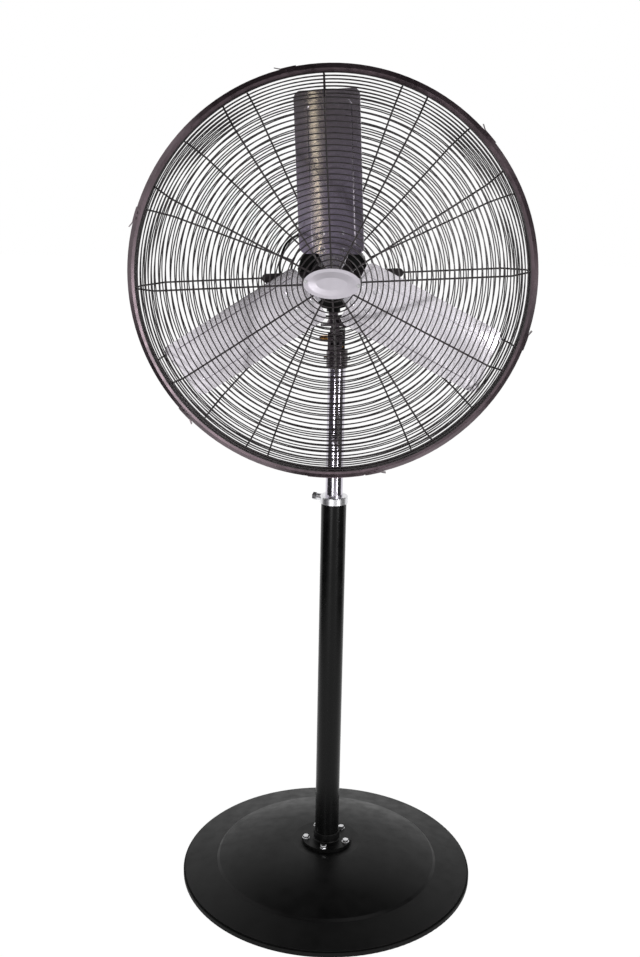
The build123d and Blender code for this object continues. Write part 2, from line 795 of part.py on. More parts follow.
# Motor shell: a finned barrel with the foot boss under it
foot_plane = Plane.XY.offset(head_height - boss_drop)
shell_length = shell_front - shell_back
shell_bore = motor_radius - shell_wall
lead_exit = on_circle(shell_bore, lead_exit_angle)
lead_exit_plane = Plane(origin=head_point(*lead_exit, lead_exit_forward),
                        z_dir=(cos(radians(lead_exit_angle)), 0, sin(radians(lead_exit_angle))))
boss_exit_plane = Plane(origin=(neck_x, neck_radius + body_gap, head_height - lead_foot_drop), z_dir=(0, 1, 0))
with BuildPart() as motor_shell:
    with BuildSketch(head_plane.offset(shell_back)):
        Circle(motor_radius)
        with PolarLocations(motor_radius, shell_ribs, start_angle=turn_of(shell_ribs) / 2):
            Rectangle(2 * shell_rib_height, shell_rib_width)
    extrude(amount=shell_length)
    with BuildSketch(foot_plane):
        with Locations((neck_x, 0)):
            Circle(boss_radius)
    extrude(amount=boss_drop - shell_bore)
    with BuildSketch(head_plane.offset(shell_back)):
        Circle(shell_bore)
    extrude(amount=shell_length, mode=Mode.SUBTRACT)
    with BuildSketch(foot_plane):
        with Locations((neck_x, 0)):
            Circle(neck_radius)
    extrude(amount=neck_socket, mode=Mode.SUBTRACT)
    for exit_plane in (lead_exit_plane, boss_exit_plane):
        with BuildSketch(exit_plane):
            Circle(lead_gland_radius + thread_clearance)
        extrude(amount=boss_radius, mode=Mode.SUBTRACT)
    for face in (shell_front, shell_back + bell_screw_length):
        with BuildSketch(head_plane.offset(face)):
            with PolarLocations(bell_screw_circle, bell_screw_count, start_angle=bell_screw_turn):
                Circle(bell_screw_radius + thread_clearance)
        extrude(amount=-bell_screw_length, mode=Mode.SUBTRACT)
save(motor_shell.part, "motor_shell")

# End bells: each holds a bearing in a boss
bell_step_front = shell_front + bell_step
bell_step_back = shell_back - bell_step
bell_hollow = bell_nose_radius - bell_wall
with BuildPart() as motor_front_bell:
    with BuildSketch(head_profile):
        with BuildLine():
            Polyline((motor_radius, shell_front), (motor_radius, bell_step_front),
                     (bell_nose_radius, motor_front), (bearing_land_radius, motor_front),
                     (bearing_land_radius, front_bearing + bearing_width),
                     (bearing_outer_radius, front_bearing + bearing_width),
                     (bearing_outer_radius, front_bearing), (bearing_boss_radius, front_bearing),
                     (bearing_boss_radius, motor_front - bell_wall), (bell_hollow, motor_front - bell_wall),
                     (shell_bore, shell_front + bell_step / 2), (shell_bore, shell_front), close=True)
        make_face()
    revolve(axis=head_axis)
    with BuildSketch(head_plane.offset(shell_front)):
        with PolarLocations(bell_screw_circle, bell_screw_count, start_angle=bell_screw_turn):
            Circle(bell_screw_radius + thread_clearance)
    extrude(amount=bell_step, mode=Mode.SUBTRACT)
    with BuildSketch(head_plane.offset(bell_step_front)):
        with PolarLocations(bell_screw_circle, bell_screw_count, start_angle=bell_screw_turn):
            Circle(bell_screw_head_radius + bolt_hole_clearance)
    extrude(amount=motor_front - bell_step_front, mode=Mode.SUBTRACT)
    with BuildSketch(head_plane.offset(motor_front)):
        with PolarLocations(strap_screw_circle, strap_screw_count, start_angle=strap_screw_turn):
            Circle(strap_screw_radius + thread_clearance)
    extrude(amount=-strap_screw_length, mode=Mode.SUBTRACT)
save(motor_front_bell.part, "motor_front_bell")

with BuildPart() as motor_rear_bell:
    with BuildSketch(head_profile):
        with BuildLine():
            Polyline((motor_radius, shell_back), (motor_radius, bell_step_back),
                     (bell_nose_radius, motor_back), (0, motor_back), (0, motor_back + bell_wall),
                     (bearing_land_radius, motor_back + bell_wall),
                     (bearing_land_radius, rear_bearing - bearing_width),
                     (bearing_outer_radius, rear_bearing - bearing_width),
                     (bearing_outer_radius, rear_bearing), (bearing_boss_radius, rear_bearing),
                     (bearing_boss_radius, motor_back + bell_wall), (bell_hollow, motor_back + bell_wall),
                     (shell_bore, shell_back - bell_step / 2), (shell_bore, shell_back), close=True)
        make_face()
    revolve(axis=head_axis)
    with BuildSketch(head_plane.offset(shell_back)):
        with PolarLocations(bell_screw_circle, bell_screw_count, start_angle=bell_screw_turn):
            Circle(bell_screw_radius + thread_clearance)
    extrude(amount=-bell_step, mode=Mode.SUBTRACT)
    with BuildSketch(head_plane.offset(bell_step_back)):
        with PolarLocations(bell_screw_circle, bell_screw_count, start_angle=bell_screw_turn):
            Circle(bell_screw_head_radius + bolt_hole_clearance)
    extrude(amount=motor_back - bell_step_back, mode=Mode.SUBTRACT)
save(motor_rear_bell.part, "motor_rear_bell")

with BuildPart() as bell_screws:
    for seat, inwards in ((bell_step_front, -1), (bell_step_back, 1)):
        with BuildSketch(head_plane.offset(seat)):
            with PolarLocations(bell_screw_circle, bell_screw_count, start_angle=bell_screw_turn):
                Circle(bell_screw_head_radius)
        extrude(amount=-inwards * bell_screw_head)
        with BuildSketch(head_plane.offset(seat)):
            with PolarLocations(bell_screw_circle, bell_screw_count, start_angle=bell_screw_turn):
                Circle(bell_screw_radius)
        extrude(amount=inwards * (bell_screw_length + bell_step))
save(bell_screws.part, "bell_screws")

# Stator with its slots, and the two winding heads
with BuildPart() as stator_core:
    with BuildSketch(head_plane.offset(core_back)):
        Circle(shell_bore)
        Circle(stator_bore, mode=Mode.SUBTRACT)
        with PolarLocations(stator_bore, stator_slots):
            Rectangle(2 * slot_depth, slot_width, mode=Mode.SUBTRACT)
    extrude(amount=core_front - core_back)
save(stator_core.part, "stator_core")

winding_middle = (winding_inner + winding_outer) / 2
with BuildPart() as stator_windings:
    with BuildSketch(head_profile):
        with Locations((winding_middle, core_front + winding_length / 2),
                       (winding_middle, core_back - winding_length / 2)):
            RectangleRounded(winding_outer - winding_inner, winding_length, winding_round)
    revolve(axis=head_axis)
save(stator_windings.part, "stator_windings")

# Ball bearings: races with grooves, and their balls
race_middles = (front_bearing + bearing_width / 2, rear_bearing - bearing_width / 2)
inner_race_radius = shaft_radius + race_wall
outer_race_bore = bearing_outer_radius - race_wall
ball_circle = (inner_race_radius + outer_race_bore) / 2
ball_places = [(ball_circle, middle) for middle in race_middles]
with BuildPart() as bearing_outer_races:
    with BuildSketch(head_profile):
        with Locations(*[(bearing_outer_radius - race_wall / 2, middle) for middle in race_middles]):
            Rectangle(race_wall, bearing_width)
        with Locations(*ball_places):
            Circle(ball_radius + ball_clearance, mode=Mode.SUBTRACT)
    revolve(axis=head_axis)
save(bearing_outer_races.part, "bearing_outer_races")

with BuildPart() as bearing_inner_races:
    with BuildSketch(head_profile):
        with Locations(*[(shaft_radius + race_wall / 2, middle) for middle in race_middles]):
            Rectangle(race_wall, bearing_width)
        with Locations(*ball_places):
            Circle(ball_radius + ball_clearance, mode=Mode.SUBTRACT)
    revolve(axis=head_axis)
save(bearing_inner_races.part, "bearing_inner_races")

with BuildPart() as bearing_balls:
    for middle in race_middles:
        with Locations(head_plane.offset(middle)):
            with PolarLocations(ball_circle, ball_count):
                Sphere(ball_radius)
save(bearing_balls.part, "bearing_balls")

with BuildPart() as motor_shaft:
    with BuildSketch(head_plane.offset(shaft_back)):
        Circle(shaft_radius)
    extrude(amount=shaft_front - shaft_back)
    chamfer(motor_shaft.edges().filter_by(GeomType.CIRCLE), shaft_edge)
save(motor_shaft.part, "motor_shaft")

with BuildPart() as rotor_core:
    with BuildSketch(head_plane.offset(core_back)):
        Circle(stator_bore - air_gap)
        Circle(shaft_radius, mode=Mode.SUBTRACT)
    extrude(amount=core_front - core_back)
save(rotor_core.part, "rotor_core")

# Motor lead, from the upper gland round the motor's left side to the foot
gland_reach = shell_wall + lead_gland_length
with BuildPart() as lead_glands:
    for exit_plane, reach in ((lead_exit_plane, gland_reach),
                              (boss_exit_plane, boss_radius - neck_radius - body_gap + lead_gland_length)):
        with BuildSketch(exit_plane):
            Circle(lead_gland_radius)
            Circle(lead_radius + thread_clearance, mode=Mode.SUBTRACT)
        extrude(amount=reach)
save(lead_glands.part, "lead_glands")

lead_foot = (neck_x - head_x, -lead_foot_drop)
lead_route = [(*lead_exit, lead_exit_forward), (*on_circle(lead_turn_radius, lead_exit_angle), lead_exit_forward),
              *lead_points, (*lead_foot, -lead_foot_reach), (*lead_foot, -neck_radius - body_gap)]
lead_stops = [Vector(*head_point(*place)) for place in lead_route]
lead_runs = [after - before for before, after in zip(lead_stops, lead_stops[1:])]
lead_bends = [lead_bend_share * min(before.length, after.length) / tan(radians(before.get_angle(after)) / 2)
              for before, after in zip(lead_runs, lead_runs[1:])]
print("motor lead bend radii", [round(bend, 1) for bend in lead_bends])
with BuildPart() as motor_lead:
    with BuildLine() as lead_path:
        FilletPolyline(*lead_stops, radius=lead_bends)
    with BuildSketch(Plane(lead_path.wire() @ 0, z_dir=lead_path.wire() % 0)):
        Circle(lead_radius)
    sweep()
save(motor_lead.part, "motor_lead")

# Guard rings lie on the outer side of the ribs, a little sunk at each weld
ring_offset = rib_radius + ring_radius - weld_sink
side_top = rim_forward + side_top_offset
side_bottom = rim_forward - side_top_offset
front_face = rim_forward + guard_depth
rear_face = rim_forward - rear_depth
rib_tail_radius = end_ring_radius - end_ring_wire - rib_radius + weld_sink
front_slope = Vector(rib_tail_radius - face_edge_radius, side_top - front_face).normalized()
rear_slope = Vector(rib_tail_radius - face_edge_radius, side_bottom - rear_face).normalized()


def side_ring_places(slope, face, pitch, count, outwards):
    """Ring centres down a guard's sloped side, on the outer side of its ribs."""
    steps = [side_first_step + pitch * k for k in range(count)]
    return [(face_edge_radius + slope.X * step + outwards * -slope.Y * ring_offset,
             face + slope.Y * step + outwards * slope.X * ring_offset) for step in steps]


def rib_copies(rib, count):
    """Copies of one rib round the head's axis, each a separate wire."""
    with BuildPart(head_plane, mode=Mode.PRIVATE) as copies:
        with PolarLocations(0, count, start_angle=guard_turn):
            add(head_plane.to_local_coords(rib))
    return copies.part


with BuildPart() as front_rib:
    with BuildLine(head_profile) as front_rib_path:
        FilletPolyline((front_rib_start, front_face), (face_edge_radius, front_face), (rib_tail_radius, side_top),
                       (rib_tail_radius, rim_forward + end_ring_offset - rib_tail), radius=rib_bend)
    with BuildSketch(Plane(front_rib_path.wire() @ 0, z_dir=front_rib_path.wire() % 0)):
        Circle(rib_radius)
    sweep()
save(rib_copies(front_rib.part, front_ribs), "front_ribs")

with BuildPart() as front_face_ring_set:
    with BuildSketch(head_profile):
        with Locations(*[(last_face_ring - front_pitch * k, front_face + ring_offset) for k in range(front_face_rings)]):
            RegularPolygon(ring_radius, ring_flats)
    revolve(axis=head_axis)
save(front_face_ring_set.part, "front_face_rings")

with BuildPart() as front_side_ring_set:
    with BuildSketch(head_profile):
        with Locations(*side_ring_places(front_slope, front_face, front_pitch, front_side_rings, 1)):
            Circle(ring_radius)
        with Locations((end_ring_radius, rim_forward + end_ring_offset)):
            Circle(end_ring_wire)
    revolve(axis=head_axis)
save(front_side_ring_set.part, "front_side_rings")

with BuildPart() as rear_rib:
    with BuildLine(head_profile) as rear_rib_path:
        FilletPolyline((rear_inner_radius - rear_inner_wire, rear_face), (face_edge_radius, rear_face),
                       (rib_tail_radius, side_bottom),
                       (rib_tail_radius, rim_forward - end_ring_offset + rib_tail), radius=rib_bend)
    with BuildSketch(Plane(rear_rib_path.wire() @ 0, z_dir=rear_rib_path.wire() % 0)):
        Circle(rib_radius)
    sweep()
save(rib_copies(rear_rib.part, rear_ribs), "rear_ribs")

with BuildPart() as rear_face_ring_set:
    with BuildSketch(head_profile):
        with Locations(*[(last_face_ring - rear_pitch * k, rear_face - ring_offset) for k in range(rear_face_rings)]):
            RegularPolygon(ring_radius, ring_flats)
        with Locations((rear_inner_radius, rear_face - rib_radius - rear_inner_wire + weld_sink)):
            Circle(rear_inner_wire)
    revolve(axis=head_axis)
save(rear_face_ring_set.part, "rear_face_rings")

with BuildPart() as rear_side_ring_set:
    with BuildSketch(head_profile):
        with Locations(*side_ring_places(rear_slope, rear_face, rear_pitch, rear_side_rings, -1)):
            Circle(ring_radius)
        with Locations((end_ring_radius, rim_forward - end_ring_offset)):
            Circle(end_ring_wire)
    revolve(axis=head_axis)
save(rear_side_ring_set.part, "rear_side_rings")

# Rim hoop: an open channel, rolled round both end rings
hoop_mouth = hoop_lip_radius - 2 * hoop_wall
hoop_outline = [(hoop_mouth, rim_forward + hoop_half_width), (hoop_bevel_radius, rim_forward + hoop_half_width),
                (hoop_radius, rim_forward + hoop_flat), (hoop_radius, rim_forward - hoop_flat),
                (hoop_bevel_radius, rim_forward - hoop_half_width), (hoop_mouth, rim_forward - hoop_half_width)]
bevel_normal = Vector(hoop_half_width - hoop_flat, hoop_radius - hoop_bevel_radius).normalized()
bevel_middle = ((hoop_radius + hoop_bevel_radius) / 2, rim_forward + (hoop_flat + hoop_half_width) / 2)
clip_angles = [clip_turn + k * turn_of(clip_count) for k in range(clip_count)]
rim_screw_half_turn = degrees(rim_screw_spacing / hoop_radius / 2)
rim_screw_angles = [angle + side * rim_screw_half_turn for angle in clip_angles for side in (-1, 1)]


def profile_at(angle):
    """Plane through the head's axis: local x is the radius at this angle and local y is forward."""
    return Plane(origin=head_point(0, 0, 0), x_dir=(cos(radians(angle)), 0, sin(radians(angle))),
                 z_dir=(sin(radians(angle)), 0, -cos(radians(angle))))


def bevel_plane(angle, lift):
    """Plane on the hoop's front bevel, looking straight out of it."""
    radius = bevel_middle[0] + bevel_normal.X * lift
    forward = bevel_middle[1] + bevel_normal.Y * lift
    return Plane(origin=head_point(*on_circle(radius, angle), forward),
                 z_dir=(bevel_normal.X * cos(radians(angle)), -bevel_normal.Y, bevel_normal.X * sin(radians(angle))))


with BuildPart() as rim_hoop:
    with BuildSketch(head_profile):
        with BuildLine():
            Polyline(*hoop_outline, close=True)
        make_face()
        offset(amount=-hoop_wall, kind=Kind.INTERSECTION, mode=Mode.SUBTRACT)
        with Locations((hoop_mouth, rim_forward)):
            Rectangle(2 * (hoop_lip_radius - hoop_mouth), 2 * hoop_half_width, mode=Mode.SUBTRACT)
    revolve(axis=head_axis)
    for angle in rim_screw_angles:
        with BuildSketch(bevel_plane(angle, hoop_wall)):
            Circle(rim_screw_radius + thread_clearance)
        extrude(amount=-2 * hoop_wall - thread_clearance, mode=Mode.SUBTRACT)
save(rim_hoop.part, "rim_hoop")

with BuildPart() as hoop_joint_strap:
    with BuildSketch(profile_at(joint_strap_start)):
        with Locations((hoop_radius + joint_strap_thickness / 2, rim_forward)):
            Rectangle(joint_strap_thickness, 2 * joint_strap_half_width)
    revolve(axis=head_axis, revolution_arc=joint_strap_end - joint_strap_start)
save(hoop_joint_strap.part, "hoop_joint_strap")

# Guard clips: a saddle over the hoop with a plain tail at one end
clip_arc = degrees(clip_length / hoop_radius)
with BuildPart() as guard_clips:
    for angle in clip_angles:
        with BuildSketch(profile_at(angle - clip_arc / 2)):
            with BuildLine():
                Polyline(*hoop_outline, close=True)
            make_face()
            offset(amount=clip_thickness, kind=Kind.INTERSECTION)
            with BuildLine():
                Polyline(*hoop_outline, close=True)
            make_face(mode=Mode.SUBTRACT)
            with Locations((hoop_mouth, rim_forward)):
                Rectangle(2 * (hoop_bevel_radius - hoop_mouth), 4 * hoop_half_width, mode=Mode.SUBTRACT)
        revolve(axis=head_axis, revolution_arc=clip_arc)
        tail_angle = angle + clip_arc / 2
        tail_direction = tail_angle + 90 - clip_tail_angle
        tail_plane = Plane(origin=head_point(*on_circle(hoop_radius, tail_angle), rim_forward),
                           x_dir=(cos(radians(tail_direction)), 0, sin(radians(tail_direction))), z_dir=(0, -1, 0))
        with BuildSketch(tail_plane):
            Rectangle(clip_tail_length, clip_thickness, align=(Align.MIN, Align.MAX))
        extrude(amount=clip_tail_half_width, both=True)
    for angle in rim_screw_angles:
        with BuildSketch(bevel_plane(angle, 2 * clip_thickness)):
            Circle(rim_screw_radius + thread_clearance)
        extrude(amount=-3 * clip_thickness, mode=Mode.SUBTRACT)
save(guard_clips.part, "guard_clips")

with BuildPart() as clip_screws:
    for angle in rim_screw_angles:
        with BuildSketch(bevel_plane(angle, clip_thickness)):
            Circle(rim_screw_head_radius)
        extrude(amount=rim_screw_head)
        with BuildSketch(bevel_plane(angle, clip_thickness)):
            Circle(rim_screw_radius)
        extrude(amount=-clip_thickness - hoop_wall)
save(clip_screws.part, "clip_screws")

# Front centre: the welded disc, and the bare oval badge with its two studs
with BuildPart() as guard_centre_disc:
    with BuildSketch(head_plane.offset(front_face + rib_radius - weld_sink)):
        Circle(centre_disc_radius)
    extrude(amount=centre_disc_thickness)
save(guard_centre_disc.part, "guard_centre_disc")

badge_back = front_face + ring_offset + ring_radius
ring_back = front_face + ring_offset - ring_radius
stud_angles = (badge_stud_turn, badge_stud_turn + 180)
with BuildPart() as badge_plate:
    with BuildSketch(head_plane.offset(badge_back)):
        Ellipse(badge_width / 2, badge_height / 2)
    extrude(amount=badge_thickness)
    with BuildSketch(head_plane.offset(badge_back + badge_thickness)):
        Ellipse(badge_flat_width / 2, badge_flat_height / 2)
    with BuildSketch(head_plane.offset(badge_back + badge_thickness + badge_crown)):
        Ellipse(badge_crown_width / 2, badge_crown_height / 2)
    loft()
    with BuildSketch(head_plane.offset(badge_back)):
        for angle in stud_angles:
            with Locations(on_circle(badge_stud_circle, angle)):
                Circle(badge_stud_radius + thread_clearance)
    extrude(amount=badge_thickness + badge_crown, mode=Mode.SUBTRACT)
save(badge_plate.part, "badge_plate")

with BuildPart() as badge_studs:
    for angle in stud_angles:
        with BuildSketch(head_plane.offset(badge_back + badge_thickness)):
            with Locations(on_circle(badge_stud_circle, angle)):
                Circle(badge_stud_head_radius)
        extrude(amount=badge_stud_head)
        with BuildSketch(head_plane.offset(ring_back)):
            with Locations(on_circle(badge_stud_circle, angle)):
                Circle(badge_stud_radius)
        extrude(amount=badge_back + badge_thickness - ring_back)
        with BuildSketch(head_plane.offset(ring_back)):
            with Locations(Location(Vector(*on_circle(badge_stud_circle, angle)), angle)):
                Rectangle(badge_foot_length, badge_foot_width)
        extrude(amount=-badge_foot_thickness)
save(badge_studs.part, "badge_studs")

# Strap that bolts the rear guard to the motor's front bell
with BuildPart() as guard_mount_strap:
    with BuildSketch(head_plane.offset(motor_front)):
        SlotOverall(strap_length, strap_width, rotation=guard_turn)
        Circle(strap_disc_radius)
        Circle(strap_hole_radius, mode=Mode.SUBTRACT)
        with PolarLocations(strap_screw_circle, strap_screw_count, start_angle=strap_screw_turn):
            Circle(strap_screw_radius + bolt_hole_clearance, mode=Mode.SUBTRACT)
    extrude(amount=strap_thickness)
save(guard_mount_strap.part, "guard_mount_strap")

strap_face = motor_front + strap_thickness
with BuildPart() as strap_screws:
    with BuildSketch(head_plane.offset(strap_face)):
        with PolarLocations(strap_screw_circle, strap_screw_count, start_angle=strap_screw_turn):
            Circle(strap_screw_head_radius)
    extrude(amount=strap_screw_head)
    with BuildSketch(head_plane.offset(strap_face)):
        with PolarLocations(strap_screw_circle, strap_screw_count, start_angle=strap_screw_turn):
            Circle(strap_screw_radius)
    extrude(amount=-strap_screw_length)
save(strap_screws.part, "strap_screws")

# Rotor: the upright master blade's section lies square to its length, on a camber circle
pitch_across = cos(radians(blade_pitch))
pitch_back = sin(radians(blade_pitch))
camber_sag = blade_camber_radius - sqrt(blade_camber_radius ** 2 - (blade_chord / 2) ** 2)
camber_centre = (0, camber_sag - blade_camber_radius)
blade_origin = head_point(0, 0, blade_forward)
blade_section = Plane(origin=blade_origin, x_dir=(pitch_across, -pitch_back, 0), z_dir=(0, 0, 1))
blade_face = Plane(origin=blade_origin, x_dir=(pitch_across, -pitch_back, 0), z_dir=(-pitch_back, -pitch_across, 0))
blade_back_radius = blade_camber_radius + blade_thickness / 2
blade_front_radius = blade_camber_radius - blade_thickness / 2
spider_back_radius = blade_back_radius + spider_thickness
blade_length = blade_tip - blade_root
blade_angles = [first_blade_angle + k * turn_of(blade_count) for k in range(blade_count)]
rivet_half_angle = degrees(rivet_half_spacing / blade_camber_radius)
rivet_places = [(side * rivet_half_angle, row) for side in (-1, 1) for row in rivet_rows]


def at_blade(part, angle):
    """A copy of an upright blade's piece, turned to this blade's place on the head."""
    return part.rotate(head_axis, angle - 90)


def rivet_plane(turn, row, radius):
    """Plane on the camber circle, square to it and facing the front."""
    across = radius * sin(radians(turn))
    back = camber_centre[1] + radius * cos(radians(turn))
    facing = blade_section.x_dir * -sin(radians(turn)) - blade_section.y_dir * cos(radians(turn))
    return Plane(origin=blade_section.from_local_coords(Vector(across, back, row)), z_dir=facing)


with BuildPart() as blade_sheet:
    with BuildSketch(blade_section):
        with Locations(camber_centre):
            Circle(blade_back_radius)
            Circle(blade_front_radius, mode=Mode.SUBTRACT)
        Rectangle(2 * blade_chord, blade_chord, mode=Mode.INTERSECT)
    extrude(amount=blade_tip + blade_root)
    with BuildSketch(blade_face):
        with Locations((0, blade_root + blade_length / 2)):
            RectangleRounded(blade_chord, blade_length, blade_corner)
    extrude(amount=blade_chord, both=True, mode=Mode.INTERSECT)

bead_outer_width = blade_chord - 2 * bead_inset
bead_top = blade_tip - bead_inset
with BuildPart() as blade_bead:
    with BuildSketch(blade_section.offset(bead_start)):
        with Locations(camber_centre):
            Circle(blade_camber_radius)
            Circle(blade_front_radius - bead_height, mode=Mode.SUBTRACT)
        Rectangle(blade_chord, blade_chord, mode=Mode.INTERSECT)
    extrude(amount=blade_length)
    with BuildSketch(blade_face):
        with Locations((0, bead_start)):
            RectangleRounded(bead_outer_width, 2 * (bead_top - bead_start), bead_corner)
            RectangleRounded(bead_outer_width - 2 * bead_width, 2 * (bead_top - bead_start - bead_width),
                             bead_corner - bead_width / 2, mode=Mode.SUBTRACT)
    extrude(amount=blade_chord, both=True, mode=Mode.INTERSECT)

with BuildPart() as master_blade:
    add(blade_sheet.part)
    add(blade_bead.part)
    for turn, row in rivet_places:
        with BuildSketch(rivet_plane(turn, row, blade_back_radius)):
            Circle(rivet_radius + thread_clearance)
        extrude(amount=blade_thickness + bead_height, both=True, mode=Mode.SUBTRACT)

for number, angle in enumerate(blade_angles, 1):
    save(at_blade(master_blade.part, angle), f"fan_blade_{number}")

with BuildPart() as spider_arm:
    with BuildSketch(blade_section):
        with Locations(camber_centre):
            Circle(spider_back_radius)
            Circle(blade_back_radius, mode=Mode.SUBTRACT)
        Rectangle(2 * blade_chord, blade_chord, mode=Mode.INTERSECT)
    extrude(amount=2 * spider_arm_tip)
    with BuildSketch(blade_face):
        with BuildLine():
            arm_outline = Polyline((spider_neck_half_width, spider_arm_start), (spider_neck_half_width, hub_radius),
                                   (spider_arm_width / 2, spider_shoulder), (spider_arm_width / 2, spider_arm_tip),
                                   (-spider_arm_width / 2, spider_arm_tip), (-spider_arm_width / 2, spider_shoulder),
                                   (-spider_neck_half_width, hub_radius), (-spider_neck_half_width, spider_arm_start),
                                   close=True)
        make_face()
        fillet(arm_outline.vertices().group_by(Axis.Y)[-1], blade_corner)
    extrude(amount=blade_chord, both=True, mode=Mode.INTERSECT)
    for turn, row in rivet_places:
        with BuildSketch(rivet_plane(turn, row, blade_back_radius)):
            Circle(rivet_radius + thread_clearance)
        extrude(amount=-2 * spider_thickness, mode=Mode.SUBTRACT)

hub_screw_plane = Plane(origin=head_point(*on_circle(shaft_radius, hub_screw_angle), hub_screw_forward),
                        z_dir=(cos(radians(hub_screw_angle)), 0, sin(radians(hub_screw_angle))))
with BuildPart() as hub_spider:
    for angle in blade_angles:
        add(at_blade(spider_arm.part, angle))
    with BuildSketch(head_plane.offset(hub_back)):
        Circle(hub_radius)
    extrude(amount=hub_front - hub_back)
    with BuildSketch(head_plane.offset(hub_back)):
        Circle(shaft_radius)
    extrude(amount=hub_front - hub_back, mode=Mode.SUBTRACT)
    with BuildSketch(hub_screw_plane):
        Circle(hub_screw_radius + thread_clearance)
    extrude(amount=hub_radius, mode=Mode.SUBTRACT)
save(hub_spider.part, "hub_spider")

with BuildPart() as master_rivets:
    for turn, row in rivet_places:
        with BuildSketch(rivet_plane(turn, row, blade_front_radius - rivet_lift)):
            Circle(rivet_head_radius)
        extrude(amount=rivet_head)
        with BuildSketch(rivet_plane(turn, row, blade_front_radius - rivet_lift)):
            Circle(rivet_radius)
        extrude(amount=-blade_thickness - spider_thickness - rivet_lift)
        with BuildSketch(rivet_plane(turn, row, spider_back_radius)):
            Circle(rivet_head_radius)
        extrude(amount=-rivet_head)

with BuildPart() as blade_rivets:
    for angle in blade_angles:
        add(at_blade(master_rivets.part, angle))
save(blade_rivets.part, "blade_rivets")

with BuildPart() as hub_set_screw:
    with BuildSketch(hub_screw_plane):
        Circle(hub_screw_radius)
    extrude(amount=hub_radius - shaft_radius)
save(hub_set_screw.part, "hub_set_screw")
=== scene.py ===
from math import cos, radians, sin

import bpy
from mathutils import Matrix, Vector

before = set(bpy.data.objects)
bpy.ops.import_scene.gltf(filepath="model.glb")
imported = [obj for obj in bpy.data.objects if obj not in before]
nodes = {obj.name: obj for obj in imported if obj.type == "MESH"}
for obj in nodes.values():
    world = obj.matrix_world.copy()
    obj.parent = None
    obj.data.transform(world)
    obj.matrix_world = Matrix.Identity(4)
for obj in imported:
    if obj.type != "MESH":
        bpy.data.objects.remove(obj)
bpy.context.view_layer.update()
bpy.context.scene.view_settings.view_transform = "Standard"

# Camera found from the photograph: metres, degrees, the photograph's pixels, sensor in millimetres
camera_place = Vector((0, -2.5409, 1.6889))
camera_pitch = radians(15.762)
camera_yaw = radians(-0.712)
camera_roll = radians(-1.058)
focal_pixels = 1200
photo_height = 957
sensor_height = 36

# Where lights and cards are aimed, in metres
head = (-0.0127, 0, 1.424)
fan_middle = (0, 0, 1.2)

# The blades' turns about the head's axis, in degrees
blade_count = 3
first_blade_turn = 3
blade_spacing = 120

# A noise texture's value mostly lies between these two
noise_low = 0.3
noise_high = 0.7

# Depth of a fine surface's relief, in metres
fine_relief = 0.0002

# Floor and world: what they show to the camera and in mirrors, and the world's level as light
white = (1, 1, 1)
floor_size = 30
floor_shown_share = 0.97
floor_glow = 1.03
world_shown_level = 1.0
world_light_level = 0.6

# Heights of the level cards, on the floor and over the fan, and of the points that they face
floor_card_height = 0.01
floor_card_aim = 2.0
ceiling_card_height = 3.3
ceiling_card_aim = 0

# Cloth of the faded card: heights on the unit card between which it fades, and its shades
fade_foot = -0.15
fade_top = 0.20
fade_shades = [
    (0.0, (0.34, 0.30, 0.40)),
    (0.5, (0.17, 0.15, 0.17)),
    (1.0, (0.13, 0.12, 0.11)),
]


def add_camera():
    """Camera at the photograph's place, aimed by its pitch, yaw and roll."""
    forward = Vector((
        sin(camera_yaw) * cos(camera_pitch),
        cos(camera_yaw) * cos(camera_pitch),
        -sin(camera_pitch),
    ))
    level_right = Vector((cos(camera_yaw), -sin(camera_yaw), 0))
    level_down = forward.cross(level_right)
    right = level_right * cos(camera_roll) + level_down * sin(camera_roll)
    down = level_down * cos(camera_roll) - level_right * sin(camera_roll)
    data = bpy.data.cameras.new("camera")
    data.sensor_fit = "VERTICAL"
    data.sensor_height = sensor_height
    data.lens = sensor_height * focal_pixels / photo_height
    camera = bpy.data.objects.new("camera", data)
    bpy.context.scene.collection.objects.link(camera)
    turn = Matrix((right, -down, -forward)).transposed().to_4x4()
    camera.matrix_world = Matrix.Translation(camera_place) @ turn
    bpy.context.scene.camera = camera


def set_inputs(node, values):
    for name, value in values.items():
        node.inputs[name].default_value = value


def add_node(tree, kind, values):
    """New node of this kind with these values on its inputs."""
    node = tree.nodes.new(kind)
    set_inputs(node, values)
    return node


